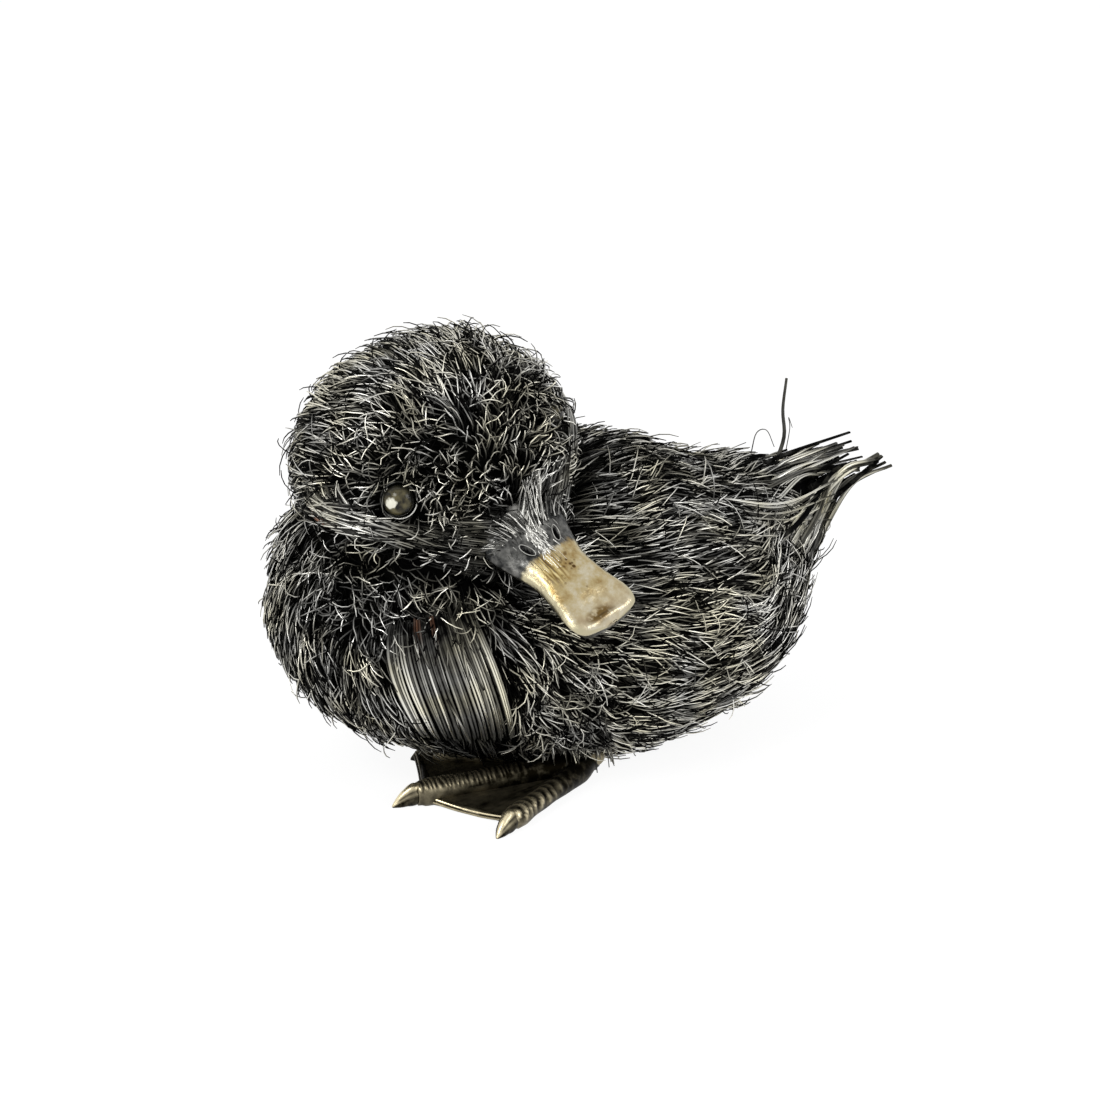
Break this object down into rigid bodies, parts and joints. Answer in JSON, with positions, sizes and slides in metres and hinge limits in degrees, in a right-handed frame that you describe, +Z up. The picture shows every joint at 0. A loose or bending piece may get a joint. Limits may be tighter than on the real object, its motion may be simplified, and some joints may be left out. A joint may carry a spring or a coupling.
{
  "type": "duckling figurine",
  "caption": "Seated silver duckling with its head turned back, coated in short soldered wires, with a gilt bill, glass eyes, strip wings and tail, and cast webbed feet",
  "frame": {"origin": "on the ground, on the flat of the belly that the figure rests on", "axes": "+Z up, breast and toes towards -Y, tail towards +Y, the bird's left at +X, to which the bill is turned"},
  "size_m": [0.0871, 0.1199, 0.0791],
  "materials": {
    "oxidised_silver": "blackened silver wire with worn bright ridges",
    "silver_strip": "flat polished silver strip with dark gaps",
    "silver_wire": "polished wire",
    "cast_silver": "chased casting with a warm brown patina",
    "gilt_silver": "worn pale gilding with tarnish specks",
    "eye_glass": "polished olive grey glass cabochon"
  },
  "bodies": {
    "root": {"body_shell_lower": "oxidised_silver", "body_shell_upper": "oxidised_silver", "head_shell_left": "oxidised_silver", "head_shell_right": "oxidised_silver", "cheek_stripe_left": "silver_strip", "cheek_stripe_right": "silver_strip", "wing_left": "silver_strip", "wing_right": "silver_strip", "tail_strip_01": "silver_strip", "tail_strip_02": "silver_strip", "tail_strip_03": "silver_strip", "tail_strip_04": "silver_strip", "tail_strip_05": "silver_strip", "tail_strip_06": "silver_strip", "tail_strip_07": "silver_strip", "tail_strip_08": "silver_strip", "tail_strip_09": "silver_strip", "tail_strip_10": "silver_strip", "tail_strip_11": "silver_strip", "tail_strip_12": "silver_strip", "tail_strip_13": "silver_strip", "bill_upper": "gilt_silver", "bill_lower": "cast_silver", "foot_left": "cast_silver", "foot_right": "cast_silver", "eye_left": "eye_glass", "eye_right": "eye_glass", "eye_rim_left": "silver_wire", "eye_rim_right": "silver_wire"}
  },
  "joints": []
}
